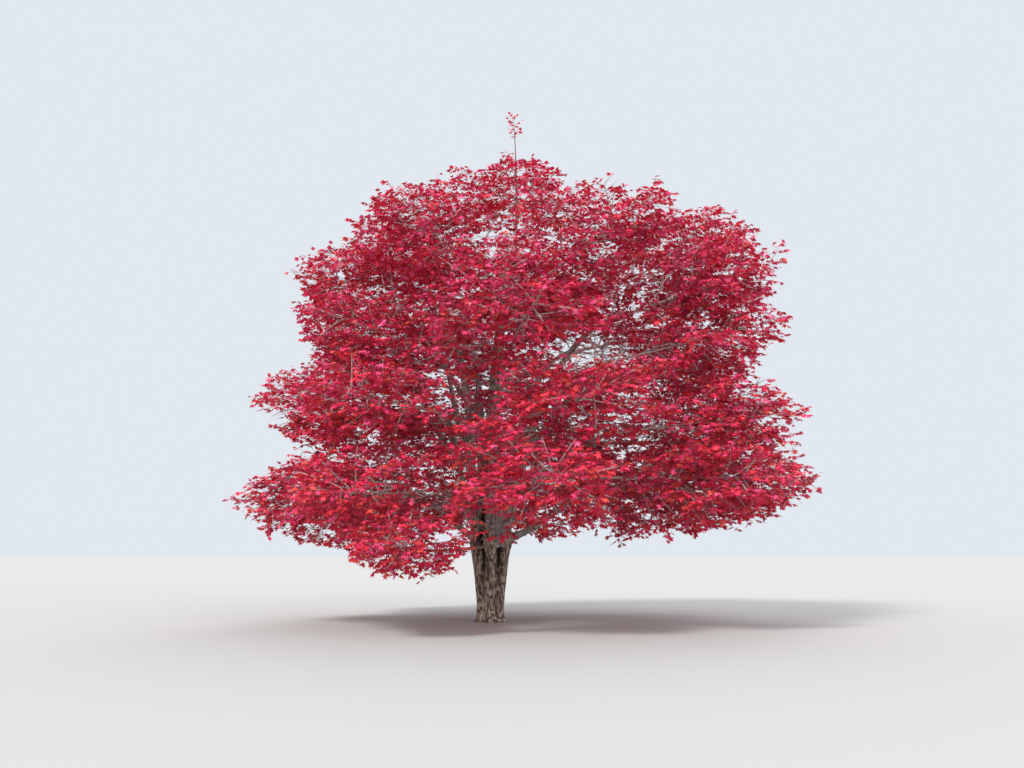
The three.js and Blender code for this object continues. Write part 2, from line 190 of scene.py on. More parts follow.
def tier_mass(tier, index, random):
    """The space of one mass: a flattened ellipsoid with a pointed outer end, out to its tip."""
    turn = tier["first"] + index * 360 / tier["count"] + around(random, AZIMUTH_JITTER)
    rise = tier["left_rise"] * (1 - math.cos(math.radians(turn))) / 2 + around(random, HEIGHT_JITTER)
    rise -= tier["end_drop"] * math.sin(math.radians(turn)) ** 2
    tip = polar(turn, 0) * tier["reach"] * np.array([1, FRONT_SQUEEZE, 1])
    tip += np.array([tier["shift"], 0, tier["height"] + rise])
    azimuth = math.degrees(math.atan2(tip[1], tip[0]))
    longest, width, depth = tier["half"]
    length = min(longest, MASS_SHARE * math.hypot(tip[0], tip[1]))
    out = polar(azimuth, tier["pitch"])
    return {
        "node": f"foliage_{tier['name']}_{index + 1}",
        "tier": tier,
        "index": index,
        "azimuth": azimuth,
        "centre": tip - out * length,
        "out": out,
        "side": unit(np.cross(UP, out)),
        "half": (length, width, depth),
        "stem_from": None if "bough" in tier else tier["stem_from"] + index * tier["stem_stagger"],
        "stem_radius": tier["bough"]["tip"] if "bough" in tier else tier["stem_radius"],
        "sprig": 0,
    }


def all_masses():
    masses = []
    for number, tier in enumerate(TIERS):
        random = seeded(11 + number)
        masses += [tier_mass(tier, index, random) for index in range(tier["count"])]
    for lone in LONE_MASSES:
        out, side = polar(lone["azimuth"], lone["pitch"]), polar(lone["azimuth"] + 90, 0)
        centre = np.array(lone["centre"])
        masses.append({**lone, "tier": None, "centre": centre, "out": out, "side": side})
    return masses


masses = all_masses()
centres = np.array([mass["centre"] for mass in masses])
axes = np.array([
    [mass["out"] / mass["half"][0], mass["side"] / mass["half"][1],
     np.cross(mass["out"], mass["side"]) / mass["half"][2]]
    for mass in masses
])


def scaled_distances(points):
    """Each point's distance from each mass's centre, where 1 is the edge of the mass's space."""
    parts = np.einsum("...mi,mki->...mk", points[..., None, :] - centres, axes)
    outward, across = parts[..., 0], np.hypot(parts[..., 1], parts[..., 2])
    power = np.where(outward > 0, MASS_POINT, 2)
    return (np.abs(outward) ** power + across**power) ** (1 / power)


def in_own_space(owner, points, edge, margin):
    """True where a point is inside its owner's space up to the edge, and no further inside another's."""
    distances = scaled_distances(points)
    own = np.take_along_axis(distances, owner[..., None], axis=-1)[..., 0]
    np.put_along_axis(distances, owner[..., None], np.inf, axis=-1)
    return (own < edge) & (distances.min(axis=-1) > own + margin)


def make_boughs():
    """Each bough's curve and radii, from inside what carries it to where the stem of its mass starts."""
    boughs = []
    for mass in [mass for mass in masses if mass["tier"] and "bough" in mass["tier"]]:
        bough = mass["tier"]["bough"]
        at = bough["at"] + (bough["stagger"] if mass["index"] % 2 else -bough["stagger"])
        if bough["from"] == "trunk":
            start = trunk_point(at / TRUNK["height"]) + polar(mass["azimuth"], 0) * bough["out"]
        else:
            mains = [limb for limb in boughs if limb["mass"]["tier"] is TIERS[0]]
            facing = [math.cos(math.radians(limb["mass"]["azimuth"] - mass["azimuth"])) for limb in mains]
            start = bezier(mains[int(np.argmax(facing))]["points"], at)
        end = mass["centre"] - mass["out"] * STEM["entry"] * mass["half"][0]
        bearing = math.degrees(math.atan2(end[1] - start[1], end[0] - start[0]))
        span = np.linalg.norm(end - start)
        leave = start + polar(bearing, bough["launch"]) * span * BOUGH["leave"]
        points = [start, leave, end - mass["out"] * span * BOUGH["arrive"], end]
        boughs.append({
            "mass": mass, "points": points, "span": span, "base": bough["base"], "tip": bough["tip"],
        })
    return boughs


def bough_radius(bough, share):
    collar = 1 + BOUGH["collar"] * np.exp(-share * bough["span"] / (2 * bough["base"]))
    return mix(bough["tip"], bough["base"], (1 - share) ** BOUGH["taper"]) * collar


boughs = make_boughs()


def make_stems():
    """The stem of each mass: on from its bough's tip, or from inside the trunk or leader."""
    stems = []
    for number, mass in enumerate(masses):
        bough = next((limb for limb in boughs if limb["mass"] is mass), None)
        root = bough["points"][3] if bough else trunk_point(mass["stem_from"] / TRUNK["height"])
        end = mass["centre"] + mass["out"] * (STEM["end"] * mass["half"][0] + mass["sprig"])
        heading = unit(end - root)
        stems.append({
            "owner": number, "start": root, "heading": heading, "length": np.linalg.norm(end - root),
            "radius": mass["stem_radius"],
        })
    return stems


stems = make_stems()


def limb_segments():
    """The limbs and stems as short straight lengths: start, end, radius and the stem's owner, or -1."""
    points = trunk_point(np.linspace(0, 1, 60))
    runs = [(points[:-1], points[1:], trunk_radius(points[:-1, 2], 0))]
    for bough in boughs:
        shares = np.linspace(0, 1, 25)
        points = bezier(bough["points"], shares)
        runs.append((points[:-1], points[1:], bough_radius(bough, shares[:-1])))
    for stem in stems:
        end = stem["start"] + stem["heading"] * stem["length"]
        runs.append((stem["start"][None], end[None], np.array([stem["radius"]])))
    owners = [-1] * (len(runs) - len(stems)) + [stem["owner"] for stem in stems]
    owners = np.concatenate([np.full(len(run[2]), owner) for run, owner in zip(runs, owners)])
    return [np.concatenate(parts) for parts in zip(*runs)] + [owners]


segment_start, segment_end, segment_radius, segment_owner = limb_segments()
BATCH = 4000  # so many points are measured at a time


def clear_of_limbs(owner, points, room):
    """True where a point is at least this far from each limb, and from each stem but its owner's."""
    clear = np.ones(len(points), dtype=bool)
    line = segment_end - segment_start
    for first in range(0, len(points), BATCH):
        batch = slice(first, first + BATCH)
        offset = points[batch, None] - segment_start
        share = np.clip((offset * line).sum(-1) / (line * line).sum(-1), 0, 1)
        distance = np.linalg.norm(offset - share[..., None] * line, axis=-1)
        near = (distance <= segment_radius + room) & (owner[batch, None] != segment_owner)
        clear[batch] = ~near.any(axis=-1)
    return clear


# Twigs on the outer part of each bough, from a share of its way on, which fill the inner end of its mass.
INNER = {"from": 0.45, "spacing": 0.3, "longest": 1.3, "shortest": 0.35, "clear_root": 0.2, "edge": 1.25,
         "margin": -0.3, "flatten": 0.7, "jitter": 15, "lengths": (0.6, 1)}
# Twigs on the leader between these heights, which fill the crown's middle below the top mass.
LEADER = {"levels": (6.9, 8.8), "spacing": 0.3, "longest": 1.35, "shortest": 0.3, "clear_root": 0.25,
          "turn": 137.5, "jitter": 12, "pitch": 24}
# The side twigs that the solids have too, and how far a twig stays from the limbs.
SIDE = {"longest": 3.4, "shortest": 0.3}
LIMB_ROOM = 0.03
# Draws for finer twigs: the spread of their roll and angle, their place between two nodes and the shares of
# their length, and the share of their rule's least length under which they are left out.
FINER = {"roll": 22, "spread": 9, "places": (0.2, 0.8), "lengths": (0.75, 1.15), "least": 0.55}
# How much a twig bows, as a share of its length.
BOW = {"stem": 0.012, "first": 0.025, "finer": 0.03}
# A rule that says this lets twigs grow outside their mass's space.
ANYWHERE = {"edge": (9, 9), "margin": -9}
# Finer twigs: how far apart they leave their parents, at what angle, how long they grow and how thick.
SECOND = {"spacing": 0.24, "spread": 52, "flatten": 0.5, "longest": 1.05, "share": 0.66, "least": 0.28,
          "edge": (0.84, 1.1), "margin": -0.06}
THIRD = {"spacing": 0.15, "spread": 54, "flatten": 0.6, "longest": 0.3, "share": 0.5, "least": 0.14,
         "edge": (1.04, 1.16), "margin": -0.15}
SPRIG_TWIG = {"spacing": 0.16, "spread": 40, "flatten": 1, "longest": 0.24, "share": 0.4, "least": 0.14,
              **ANYWHERE}
# The share of a parent's way, from its root, that bears no finer twigs.
BARE = {"first": 0.2, "leader": 0.3, "second": 0.4, "ends": 0.6, "sprig": 0.8}
RADII = {"first": (0.02, 0.007), "second": (0.0085, 0.0035), "third": (0.0036, 0.0018)}
STEM_END = 0.006
# How much fuller than their spaces the twigs and leaves of some masses grow.
FULLER = {"foliage_top": 1.16, "foliage_low": 1.1, "foliage_skirt": 1.06}
# Where smooth noise with these scales is below the level, there are no leafy twigs: gaps that lie level.
GAPS = {"scale": (0.75, 0.75, 2.3), "level": -0.55, "seed": 41}
# Where the photo shows sky through the crown, or the fork: across and up in the plane of the trunk as seen from
# the camera, half width, half height, and the share of the leafy twigs that stay.
OPENINGS = [
    (2.4, 6.4, 1.2, 0.5, 0.12), (-1.6, 4.35, 0.5, 0.12, 0.5), (4.3, 4.45, 0.55, 0.2, 0.4),
    (0, 8.85, 0.25, 0.2, 0.6), (3.6, 8, 0.6, 0.2, 0.5), (0, 2.3, 0.6, 0.38, 0.06),
]
# From which share of its half sizes an opening closes, and over what share.
OPENING_EDGE = {"from": 0.7, "over": 0.5}


class Twigs:
    """Twigs as arrays: owner mass, start, heading, length, the sideways bow at the middle, and tint."""

    def __init__(self, owner, start, heading, length, bow, tint):
        self.owner, self.start, self.heading, self.length = owner, start, heading, length
        self.bow, self.tint = bow, tint

    def __len__(self):
        return len(self.length)

    def point(self, share):
        """The twigs' points at a share of their way, one share for all or one for each."""
        share = np.asarray(share, dtype=float)
        reach = (share * self.length)[..., None]
        return self.start + self.heading * reach + self.bow * (4 * share * (1 - share))[..., None]

    def keep(self, mask):
        parts = [self.owner, self.start, self.heading, self.length, self.bow, self.tint]
        return Twigs(*[part[mask] for part in parts])

    def keep_over(self, length):
        return self.keep(self.length > length)


fullness = np.array([FULLER.get(mass["node"].rstrip("_0123456789"), 1) for mass in masses])


def grown(owner, start, heading, length, bow, draw):
    """Twigs of these lengths with a seeded bow and no tint yet."""
    sideward = draw.normal(0, bow, (len(owner), 3)) * length[:, None]
    return Twigs(owner, start, heading, length, sideward, np.zeros(len(owner), dtype=int))


def joined(*batches):
    names = ["owner", "start", "heading", "length", "bow", "tint"]
    return Twigs(*[np.concatenate([getattr(batch, name) for batch in batches]) for name in names])


def reach_in_space(owner, start, heading, longest, clear_root, room, edge, margin):
    """How far each twig can grow before it leaves its mass's space or comes near a limb."""
    steps = np.arange(1, int(longest / STEP) + 2)
    points = start[:, None] + heading[:, None] * (steps * STEP + clear_root)[None, :, None]
    owners = np.repeat(owner[:, None], len(steps), axis=1)
    free = in_own_space(owners, points, edge, margin)
    flat = free.ravel()
    flat[flat] = clear_of_limbs(owners.ravel()[flat], points.reshape(-1, 3)[flat], room)
    free = flat.reshape(free.shape)
    blocked = np.where(free.all(axis=1), len(steps), np.argmin(free, axis=1))
    return blocked * STEP


def first_twigs(draw):
    """The solids' own side twigs, in opposite pairs, and a pair between each two of them."""
    rows = []
    for number, stem in enumerate(stems):
        random = seeded(101 + 37 * number)
        nodes = int(stem["length"] * (1 - STEM["first_node"]) / STEM["node_spacing"] + 0.5)
        for i in range(4 * nodes):
            pair, between = (i // 2) % nodes, i >= 2 * nodes
            share = mix(STEM["first_node"], 1, (pair + (0.8 if between else 0.3)) / nodes)
            roll = 90 * (pair % 2) + 180 * (i % 2) + STEM["roll"] + around(random, TWIG["jitter"])
            spread = TWIG["spread"] + around(random, TWIG["jitter"])
            if between:
                roll += 45
            else:
                random(), random()
            start = stem["start"] + stem["heading"] * stem["length"] * share
            rows.append((number, start, sideways(stem["heading"], np.array(spread), np.array(roll), 1)))
    owner = np.array([row[0] for row in rows])
    start, heading = np.array([row[1] for row in rows]), np.array([row[2] for row in rows])
    reach = reach_in_space(owner, start, heading, SIDE["longest"], TWIG["clear_root"], 2 * TWIG["tip"], 1,
                           MARGIN)
    return grown(owner, start, heading, TWIG["fill"] * reach, BOW["first"], draw).keep_over(SIDE["shortest"])


def bough_twigs(draw):
    """Twigs in opposite pairs along the outer part of each bough, which belong to its mass."""
    rows = []
    for bough in boughs:
        owner = next(number for number, mass in enumerate(masses) if mass is bough["mass"])
        pairs = int(bough["span"] * (1 - INNER["from"]) / INNER["spacing"])
        for i in range(2 * pairs):
            share = mix(INNER["from"], 1, (i // 2 + 0.5) / pairs)
            start, ahead = bezier(bough["points"], np.array([share, min(share + 0.02, 1.02)]))
            roll = 180 * (i % 2) + 90 * (i // 2 % 2) + STEM["roll"] + draw.normal(0, INNER["jitter"])
            spread, roll = np.array(TWIG["spread"]), np.array(roll)
            heading = sideways(unit(ahead - start), spread, roll, INNER["flatten"])
            rows.append((owner, start, heading))
    owner = np.array([row[0] for row in rows])
    start, heading = np.array([row[1] for row in rows]), np.array([row[2] for row in rows])
    reach = reach_in_space(owner, start, heading, INNER["longest"], INNER["clear_root"], LIMB_ROOM,
                           INNER["edge"], INNER["margin"])
    length = reach * draw.uniform(*INNER["lengths"], len(owner))
    return grown(owner, start, heading, length, BOW["first"], draw).keep_over(INNER["shortest"])


def leader_twigs(draw):
    """Twigs that climb round the leader, which belong to the top mass."""
    low, high = LEADER["levels"]
    count = int((high - low) / LEADER["spacing"]) * 2
    owner = next(number for number, mass in enumerate(masses) if mass["node"] == "foliage_top")
    start = trunk_point((low + (high - low) * (np.arange(count) + 0.5) / count) / TRUNK["height"])
    turns = [LEADER["turn"] * i + draw.normal(0, LEADER["jitter"]) for i in range(count)]
    heading = np.array([polar(turn, LEADER["pitch"]) for turn in turns])
    owners = np.full(count, owner)
    length = reach_in_space(owners, start, heading, LEADER["longest"], LEADER["clear_root"], LIMB_ROOM,
                            ANYWHERE["edge"][0], ANYWHERE["margin"])
    return grown(owners, start, heading, length, BOW["first"], draw).keep_over(LEADER["shortest"])


def side_twigs(parents, rule, draw, from_share):
    """Twigs in opposite pairs along their parents, shorter towards the parents' tips."""
    nodes = np.maximum(1, (parents.length * (1 - from_share) / rule["spacing"]).astype(int))
    parent = np.repeat(np.arange(len(parents)), 2 * nodes)
    first = np.repeat(np.cumsum(2 * nodes) - 2 * nodes, 2 * nodes)
    place = np.arange(len(parent)) - first
    step, side = place // 2, place % 2
    place = step + draw.uniform(*FINER["places"], len(parent))
    share = from_share + (1 - from_share) * place / nodes[parent]
    carriers = parents.keep(parent)
    start = carriers.point(share)
    roll = 180 * side + 54 * (step % 2) + draw.normal(0, FINER["roll"], len(parent))
    spread = rule["spread"] + draw.normal(0, FINER["spread"], len(parent))
    heading = sideways(carriers.heading, spread, roll, rule["flatten"])
    wanted = rule["least"] + rule["share"] * (1 - share) * carriers.length
    wanted = np.minimum(wanted, rule["longest"]) * draw.uniform(*FINER["lengths"], len(parent))
    edge = (draw.uniform(*rule["edge"], len(parent)) * fullness[carriers.owner])[:, None]
    longest = rule["longest"] * FINER["lengths"][1]
    reach = reach_in_space(carriers.owner, start, heading, longest, LIMB_ROOM, LIMB_ROOM, edge, rule["margin"])
    twigs = grown(carriers.owner, start, heading, np.minimum(wanted, reach), BOW["finer"], draw)
    return twigs.keep_over(FINER["least"] * rule["least"])


# A leaf's outline from the stalk round its three main lobes and two small basal ones: across, along and up.
LEAF = np.array([
    (0, 0, 0), (-0.27, 0.17, -0.03), (-0.50, 0.62, -0.10), (-0.17, 0.56, 0.0), (0, 1.0, -0.10),
    (0.17, 0.56, 0.0), (0.50, 0.62, -0.10), (0.27, 0.17, -0.03),
])
LEAF_FACES = np.array([(0, 3, 2, 1), (0, 5, 4, 3), (0, 7, 6, 5)])
LEAF_SIZE = 0.122
LEAF_SHARE = 0.85
# Where a twig bears leaves, as a share of its way, and how far they turn from its heading.
LEAF_PLACES = [(0.3, 55), (0.3, -55), (0.68, 48), (0.68, -48), (1.0, 0)]
# Draws for leaves: the spread of their place and turn, their most droop and tilt, and the shares of their size.
LEAF_DRAWS = {"place": 0.06, "turn": 16, "flatten": 0.6, "droop": 0.7, "tilt": 52, "sizes": (0.72, 1.2)}


def leaves_on(twigs, draw):
    """Leaves in opposite pairs along each twig and one at its tip, held level and a little drooping."""
    parts = []
    for share, turn in LEAF_PLACES:
        shares = np.clip(share + draw.normal(0, LEAF_DRAWS["place"], len(twigs)), 0.1, 1)
        place = twigs.point(shares)
        level = unit(np.cross(UP, twigs.heading) + 1e-6)
        swing = np.radians(turn + draw.normal(0, LEAF_DRAWS["turn"], len(twigs)))[:, None]
        heading = twigs.heading * np.cos(swing) + level * np.sin(swing)
        droop = draw.uniform(0, LEAF_DRAWS["droop"], len(twigs))[:, None]
        heading = unit(heading * np.array([1, 1, LEAF_DRAWS["flatten"]]) - UP * droop)
        tilt = np.radians(draw.uniform(0, LEAF_DRAWS["tilt"], len(twigs)))[:, None]
        spin = draw.uniform(0, 2 * math.pi, len(twigs))
        lean = np.stack([np.cos(spin), np.sin(spin), 0 * spin], axis=-1)
        normal = UP * np.cos(tilt) + lean * np.sin(tilt)
        across = unit(np.cross(heading, normal))
        normal = np.cross(across, heading)
        size = LEAF_SIZE * draw.uniform(*LEAF_DRAWS["sizes"], len(twigs))
        keep = draw.random(len(twigs)) < LEAF_SHARE
        columns = {"place": place, "across": across, "heading": heading, "normal": normal, "size": size,
                   "owner": twigs.owner, "tint": twigs.tint}
        parts.append({name: column[keep] for name, column in columns.items()})
    return {name: np.concatenate([part[name] for part in parts]) for name in parts[0]}


# Meshes.


def mesh_object(name, points, quads, triangles, slots, quad_slot=None, triangle_slot=None, smooth=True):
    """An object from points and faces, with a material slot for each face, or the first for all."""
    mesh = bpy.data.meshes.new(name)
    quads = np.asarray(quads, dtype=np.int32).reshape(-1, 4)
    triangles = np.asarray(triangles, dtype=np.int32).reshape(-1, 3)
    mesh.vertices.add(len(points))
    mesh.vertices.foreach_set("co", np.asarray(points, dtype=np.float32).ravel())
    loops = np.concatenate([quads.ravel(), triangles.ravel()])
    mesh.loops.add(len(loops))
    mesh.loops.foreach_set("vertex_index", loops)
    totals = np.concatenate([np.full(len(quads), 4), np.full(len(triangles), 3)]).astype(np.int32)
    mesh.polygons.add(len(totals))
    starts = np.concatenate([[0], np.cumsum(totals)[:-1]]).astype(np.int32)
    mesh.polygons.foreach_set("loop_start", starts)
    mesh.polygons.foreach_set("loop_total", totals)
    indices = [np.zeros(len(quads)) if quad_slot is None else quad_slot,
               np.zeros(len(triangles)) if triangle_slot is None else triangle_slot]
    mesh.polygons.foreach_set("material_index", np.concatenate(indices).astype(np.int32))
    mesh.polygons.foreach_set("use_smooth", np.full(len(totals), smooth))
    for material in slots:
        mesh.materials.append(material)
    mesh.update(calc_edges=True)
    piece = bpy.data.objects.new(name, mesh)
    bpy.context.scene.collection.objects.link(piece)
    return piece


def grid_faces(rings, sides):
    """Quads between rings of points that close round."""
    ring, side = np.meshgrid(np.arange(rings - 1), np.arange(sides), indexing="ij")
    after = (side + 1) % sides
    this, next_ring = ring * sides, (ring + 1) * sides
    corners = [this + side, this + after, next_ring + after, next_ring + side]
    return np.stack(corners, axis=-1).reshape(-1, 4)


def tube_points(line, radius, sides):
    """Rings of points across a line. radius has a row for each ring, and a column for each side or one."""
    tangent = unit(np.gradient(line, axis=0))
    chord = line[-1] - line[0]
    level = np.cross(UP, chord)
    sideward = unit(level) if np.linalg.norm(level) > 0.2 * np.linalg.norm(chord) else RIGHT
    u = unit(sideward - tangent * (tangent @ sideward)[:, None])
    w = np.cross(tangent, u)
    angle = 2 * math.pi * np.arange(sides) / sides
    ring = u[:, None] * np.cos(angle)[None, :, None] + w[:, None] * np.sin(angle)[None, :, None]
    return line[:, None] + ring * radius[..., None]


def noise(points, seed, octaves=3):
    """Smooth seeded noise from about -1 to 1, a sum of finer and finer value noise."""
    table = np.random.default_rng(seed).uniform(-1, 1, 4096)
    total, size = np.zeros(points.shape[:-1]), 1.0
    for octave in range(octaves):
        scaled = points * 2**octave + 17.3 * octave
        base = np.floor(scaled).astype(np.int64)
        share = scaled - base
        share = share * share * (3 - 2 * share)
        value = np.zeros(points.shape[:-1])
        for corner in np.ndindex(2, 2, 2):
            corner = np.array(corner)
            place = base + corner
            code = (place[..., 0] * 73 + place[..., 1] * 1531 + place[..., 2] * 389) % 4096
            weight = np.prod(np.where(corner == 1, share, 1 - share), axis=-1)
            value += table[code] * weight
        total += value * size
        size *= 0.5
    return total


# Materials.


def colour(red, green, blue):
    """An sRGB colour from 0 to 255 as linear values for a shader."""
    values = [value / 255 for value in (red, green, blue)]
    return [v / 12.92 if v <= 0.04045 else ((v + 0.055) / 1.055) ** 2.4 for v in values] + [1.0]


def plain_material(name, tint, roughness, specular):
    material = bpy.data.materials.new(name)
    material.use_nodes = True
    shader = material.node_tree.nodes["Principled BSDF"]
    shader.inputs["Base Color"].default_value = tint
    shader.inputs["Roughness"].default_value = roughness
    shader.inputs["Specular IOR Level"].default_value = specular
    return material


def add_node(tree, kind, values=None, **settings):
    node = tree.nodes.new(kind)
    for key, value in settings.items():
        setattr(node, key, value)
    for key, value in (values or {}).items():
        node.inputs[key].default_value = value
    return node


def ramp(tree, source, stops):
    """A colour ramp with these stops of position and colour, where a single number is a grey."""
    node = tree.nodes.new("ShaderNodeValToRGB")
    elements = node.color_ramp.elements
    while len(elements) < len(stops):
        elements.new(0.5)
    for element, (position, tint) in zip(elements, stops):
        element.position = position
        element.color = tint if np.ndim(tint) else (tint, tint, tint, 1)
    tree.links.new(source, node.inputs["Fac"])
    return node.outputs["Color"]


def bark_material(name, dark, middle, light, lichen, lichen_amount, grain, depth):
    """Bark: long plates split by cracks, with finer grain and patches of lichen, and painted shade that darkens
    the grooves the relief attribute marks.
    """
    material = bpy.data.materials.new(name)
    material.use_nodes = True
    tree = material.node_tree
    link = tree.links.new
    shader = tree.nodes["Principled BSDF"]
    place = add_node(tree, "ShaderNodeTexCoord").outputs["Object"]
    stretch = add_node(tree, "ShaderNodeMapping", {"Scale": (grain, grain, grain * 0.16)})
    link(place, stretch.inputs["Vector"])
    plates = add_node(tree, "ShaderNodeTexVoronoi", {"Scale": 1.0, "Randomness": 1.0},
                      feature="DISTANCE_TO_EDGE")
    bend = add_node(tree, "ShaderNodeTexNoise", {"Scale": 1.3, "Detail": 4.0, "Roughness": 0.6})
    link(stretch.outputs["Vector"], bend.inputs["Vector"])
    shift = add_node(tree, "ShaderNodeVectorMath", operation="MULTIPLY_ADD")
    shift.inputs[1].default_value = (1.1, 1.1, 1.1)
    link(bend.outputs["Color"], shift.inputs[0])
    link(stretch.outputs["Vector"], shift.inputs[2])
    link(shift.outputs["Vector"], plates.inputs["Vector"])
    cracks = ramp(tree, plates.outputs["Distance"], [(0.0, 0), (0.16, 0.75), (0.5, 1)])
    fine = add_node(tree, "ShaderNodeTexNoise", {"Scale": 7.0, "Detail": 8.0, "Roughness": 0.68})
    link(stretch.outputs["Vector"], fine.inputs["Vector"])
    height = add_node(tree, "ShaderNodeMath", operation="MULTIPLY_ADD")
    height.inputs[1].default_value = 0.55
    link(fine.outputs["Fac"], height.inputs[0])
    link(cracks, height.inputs[2])
    relief = add_node(tree, "ShaderNodeAttribute", attribute_name="relief")
    # Painted shade: this factor, low where the attribute is low, darkens the bark's tone in the grooves and
    # fades the lichen there.
    furrow = ramp(tree, relief.outputs["Fac"], [(0.0, 0), (0.5, 0.7), (0.85, 1)])
    tone = add_node(tree, "ShaderNodeMath", operation="MULTIPLY")
    link(height.outputs["Value"], tone.inputs[0])
    link(furrow, tone.inputs[1])
    bark = ramp(tree, tone.outputs["Value"], [(0.12, dark), (0.72, middle), (0.78125, middle), (1.0, light)])
    spots = {"Scale": 6.5, "Detail": 5.0, "Roughness": 0.68, "Distortion": 0.3}
    patches = add_node(tree, "ShaderNodeTexNoise", spots)
    link(place, patches.inputs["Vector"])
    threshold = 0.66 - 0.16 * lichen_amount
    where = ramp(tree, patches.outputs["Fac"], [(threshold, 0), (threshold + 0.05, 1)])
    kept = add_node(tree, "ShaderNodeMath", operation="MULTIPLY")
    link(where, kept.inputs[0])
    link(furrow, kept.inputs[1])
    spotted = add_node(tree, "ShaderNodeMix", data_type="RGBA")
    link(kept.outputs["Value"], spotted.inputs["Factor"])
    link(bark, spotted.inputs[6])
    spotted.inputs[7].default_value = lichen
    link(spotted.outputs[2], shader.inputs["Base Color"])
    bump = add_node(tree, "ShaderNodeBump", {"Strength": 0.9, "Distance": depth})
    link(height.outputs["Value"], bump.inputs["Height"])
    link(bump.outputs["Normal"], shader.inputs["Normal"])
    shader.inputs["Roughness"].default_value = 0.9
    shader.inputs["Specular IOR Level"].default_value = 0.25
    return material


# The darkest tone is the cracks' own colour and also the painted shade in the furrows and hollows.
TRUNK_BARK = bark_material("trunk_bark", colour(36, 26, 25), colour(122, 102, 94), colour(170, 150, 136),
                           colour(192, 182, 160), 0.75, 15.0, 0.025)
BOUGH_BARK = bark_material("bough_bark", colour(78, 66, 66), colour(146, 132, 130), colour(190, 176, 174),
                           colour(196, 192, 180), 0.6, 30.0, 0.006)
TWIG_TINTS = [
    plain_material("twig_pale", colour(206, 188, 184), 0.8, 0.3),
    plain_material("twig_brown", colour(134, 82, 84), 0.8, 0.3),
    plain_material("stem_grey", colour(132, 112, 110), 0.8, 0.3),
]
# Leaf tints, and how often a spray takes each, at the crown's foot and at its top.
LEAF_TINTS = [
    ("leaf_crimson", (220, 48, 88), 6, 6),
    ("leaf_rose", (220, 68, 114), 3, 6),
    ("leaf_scarlet", (226, 56, 74), 5, 3),
    ("leaf_deep", (202, 42, 76), 4, 4),
    ("leaf_wine", (176, 42, 70), 2, 1),
    ("leaf_pink", (220, 84, 130), 1, 3),
    ("leaf_orange", (218, 80, 70), 2, 0.4),
    ("leaf_brick", (192, 58, 64), 2, 0.8),
]
LEAF_MATERIALS = [plain_material(name, colour(*tint), 0.55, 0.35) for name, tint, low, high in LEAF_TINTS]
# The heights over which the odds go from those at the foot to those at the top.
TINT_LEVELS = (2.5, 8)


# The pieces.


# A value at each point for the bark's painted shade: 1 leaves the bark as it is, lower values darken it.
def set_relief_shade(piece, values):
    attribute = piece.data.attributes.new("relief", "FLOAT", "POINT")
    attribute.data.foreach_set("value", np.asarray(values, dtype=np.float32).ravel())


# The furrows between the trunk's lobes: how narrow, how deep as a share of the radius, where they start above
# the ground and over what height they deepen, the middle and half of their height, and how far they wander.
# The same furrows also darken the bark by painted shade.
FURROWS = {
    "narrow": 3.5, "depth": 0.3, "start": 0.25, "rise": 1.3, "middle": 1.8, "half": 1.25, "wander": 0.16,
}
# The heights of the trunk's broad bumps and of the ridges of its bark.
BUMPS = {"broad": 0.014, "ridge": 0.016}
# The trunk's mesh: sides, and the rings up to a level and above it.
TRUNK_MESH = {"sides": 100, "level": 3.0, "below": 160, "above": 50}
# The boughs' meshes: sides and the space between rings, for those with a base over this and for the others; then
# the sway of their lines and the roughness of their bark, as shares of their radius.
THICK_BOUGH = {"over": 0.1, "sides": 22, "spacing": 0.05}
THIN_BOUGH = {"sides": 12, "spacing": 0.07}
BOUGH_SWAY = 0.35
# The roughness also paints shade on the bark, darker where the surface dips.
BOUGH_ROUGH = 0.07


